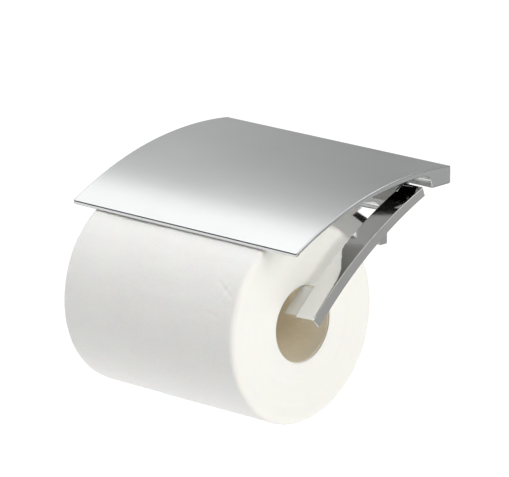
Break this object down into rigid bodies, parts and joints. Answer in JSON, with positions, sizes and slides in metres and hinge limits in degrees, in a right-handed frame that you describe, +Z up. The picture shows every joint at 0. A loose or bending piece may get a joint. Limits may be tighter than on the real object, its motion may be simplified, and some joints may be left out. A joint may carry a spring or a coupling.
{
  "type": "toilet paper holder",
  "caption": "Wall-mounted toilet paper holder with an arched hinged lid, curved side arms and sliding roll stubs, loaded with a paper roll.",
  "frame": {"origin": "on the wall, at the middle of the wall plate's back face, midway between the two wall screw holes", "axes": "+X to the holder's right, seen from the room; +Y into the wall; +Z up"},
  "size_m": [0.148, 0.136, 0.1173],
  "materials": {
    "satin_metal": "satin, fine even grain",
    "chrome": "polished plating",
    "steel": "plain zinc-plated",
    "spring_steel": "drawn wire",
    "nylon": "natural moulded",
    "silver_plastic": "satin, silver-grey moulded",
    "toilet_paper": "soft, matt, finely creped",
    "cardboard": "plain recycled board"
  },
  "bodies": {
    "base": {"wall_plate": "steel", "base_housing": "chrome", "bridge_bar": "chrome", "arm_right": "chrome", "arm_screw_right": "steel", "set_screw_right": "steel", "bar_screw_right": "steel", "bar_nut_right": "steel", "hinge_bush_right": "nylon", "stub_stop_pin_right": "steel", "stub_spring_right": "spring_steel", "arm_left": "chrome", "arm_screw_left": "steel", "set_screw_left": "steel", "bar_screw_left": "steel", "bar_nut_left": "steel", "hinge_bush_left": "nylon", "stub_stop_pin_left": "steel", "stub_spring_left": "spring_steel"},
    "lid": {"lid": "satin_metal", "hinge_pin_right": "steel", "hinge_pin_left": "steel"},
    "stub_right": {"roll_stub_right": "silver_plastic"},
    "stub_left": {"roll_stub_left": "silver_plastic"},
    "roll": {"paper_roll": "toilet_paper", "cardboard_core": "cardboard"}
  },
  "joints": [
    {"name": "lid_hinge", "type": "hinge", "parent": "base", "child": "lid", "pos_m": [0, -0.0103, 0.0202], "axis": [-1, 0, 0], "range_deg": [0, 80]},
    {"name": "roll_spin", "type": "hinge", "parent": "base", "child": "roll", "pos_m": [-0.0037, -0.086, -0.04], "axis": [1, 0, 0], "continuous": true},
    {"name": "stub_right_slide", "type": "slide", "parent": "base", "child": "stub_right", "axis": [1, 0, 0], "range_m": [0, 0.007], "stiffness_N_per_m": 120, "springref_m": -0.003, "deforming": ["stub_spring_right"]},
    {"name": "stub_left_slide", "type": "slide", "parent": "base", "child": "stub_left", "axis": [-1, 0, 0], "range_m": [0, 0.007], "stiffness_N_per_m": 120, "springref_m": -0.003, "deforming": ["stub_spring_left"]}
  ]
}
